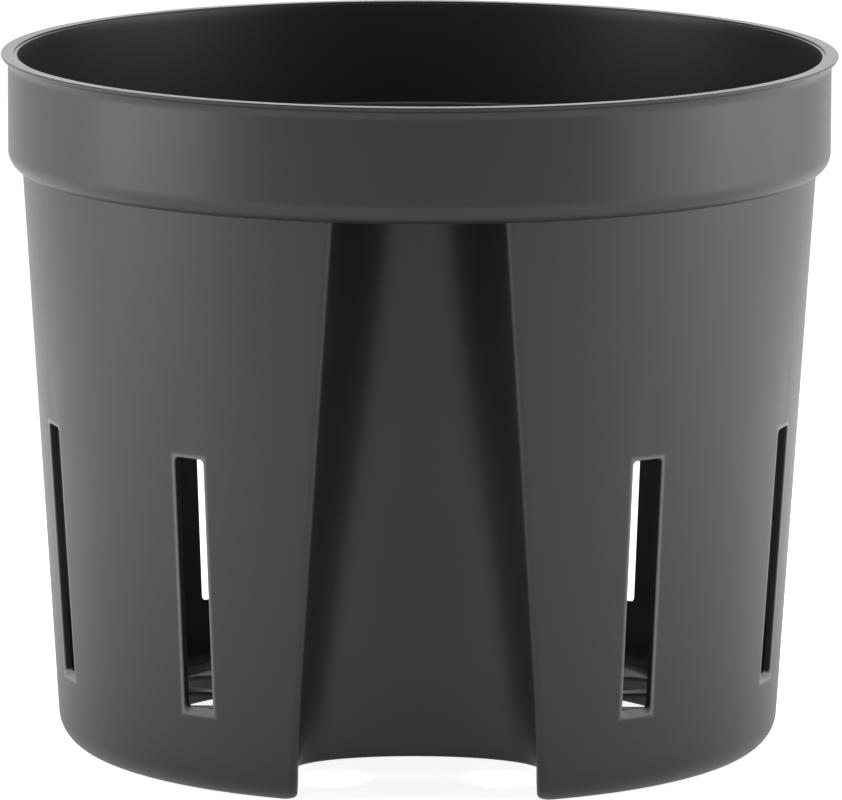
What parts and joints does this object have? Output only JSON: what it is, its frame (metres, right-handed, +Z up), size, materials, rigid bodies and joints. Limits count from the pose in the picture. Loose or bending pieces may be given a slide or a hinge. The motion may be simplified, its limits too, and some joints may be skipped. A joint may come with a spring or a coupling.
{
  "type": "slotted orchid pot",
  "caption": "Round tapered plastic culture pot with an upright collar, tall slots round its lower wall, two deep vertical recesses and a raised drained floor.",
  "frame": {"origin": "on the pot's axis, in the plane of its standing ring", "axes": "+Z up through the open mouth, -Y towards the front recess, +X to the right seen from the front"},
  "size_m": [0.15, 0.15, 0.1252],
  "materials": {
    "pot_plastic": "satin, finely matt"
  },
  "bodies": {
    "root": {"rim_lip": "pot_plastic", "collar": "pot_plastic", "upper_wall_left": "pot_plastic", "upper_wall_right": "pot_plastic", "slot_bar_left_1": "pot_plastic", "slot_bar_left_2": "pot_plastic", "slot_bar_left_3": "pot_plastic", "slot_bar_left_4": "pot_plastic", "slot_bar_left_5": "pot_plastic", "slot_bar_right_1": "pot_plastic", "slot_bar_right_2": "pot_plastic", "slot_bar_right_3": "pot_plastic", "slot_bar_right_4": "pot_plastic", "slot_bar_right_5": "pot_plastic", "lower_wall_left": "pot_plastic", "lower_wall_right": "pot_plastic", "foot_left": "pot_plastic", "foot_right": "pot_plastic", "floor_plate": "pot_plastic", "front_recess": "pot_plastic", "rear_recess": "pot_plastic"}
  },
  "joints": []
}
